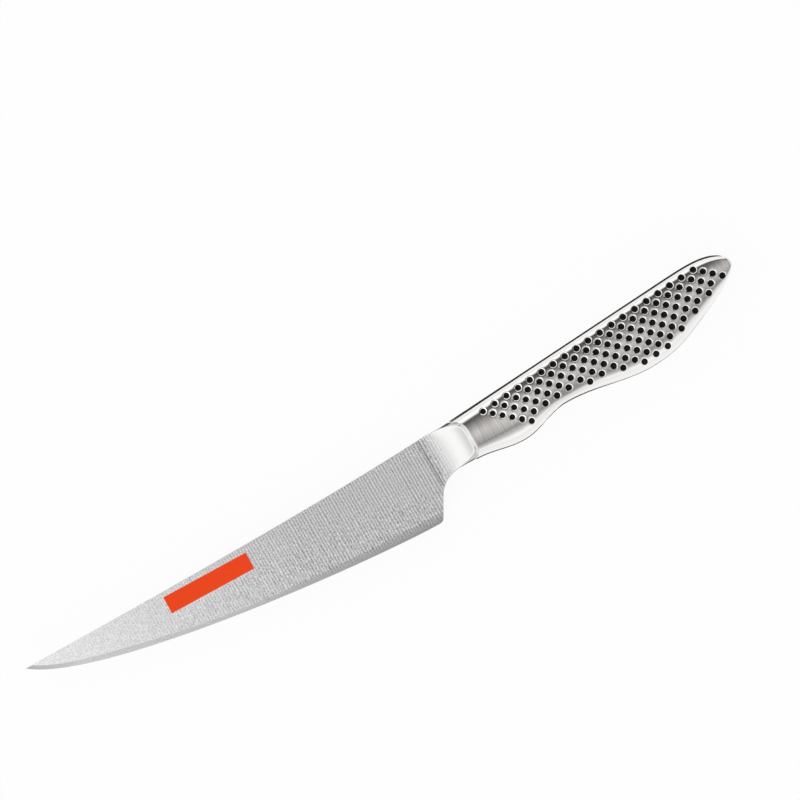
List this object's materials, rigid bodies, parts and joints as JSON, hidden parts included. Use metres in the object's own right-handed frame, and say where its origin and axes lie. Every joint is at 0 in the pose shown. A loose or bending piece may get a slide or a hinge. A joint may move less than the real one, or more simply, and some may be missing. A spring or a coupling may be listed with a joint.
{
  "type": "kitchen knife",
  "caption": "Slim all-steel kitchen knife with a narrow flexible blade for slicing fish, a flared neck and a hollow handle with grip dimples.",
  "frame": {"origin": "middle of the bounding box's underside, with the knife lying on its right side", "axes": "+X from the tip towards the butt, +Y from the cutting edge towards the spine, +Z out of the blade's left side"},
  "size_m": [0.255, 0.0316, 0.0105],
  "materials": {
    "blade_steel": "stainless steel, ground across the blade to a satin",
    "neck_steel": "stainless steel, polished",
    "shell_steel": "stainless steel, pressed, finely brushed with polished edges",
    "weld_steel": "weld bead, ground flush and polished",
    "sand": "dry quartz sand",
    "dimple_enamel": "black enamel in the dimples",
    "colour_mark": "orange ink, printed on the blade"
  },
  "bodies": {
    "root": {"blade": "blade_steel", "blade_weld_left": "weld_steel", "blade_weld_right": "weld_steel", "neck_bolster": "neck_steel", "neck_weld": "weld_steel", "handle_shell_left": "shell_steel", "handle_shell_right": "shell_steel", "seam_weld": "weld_steel", "balance_sand": "sand"}
  },
  "joints": []
}
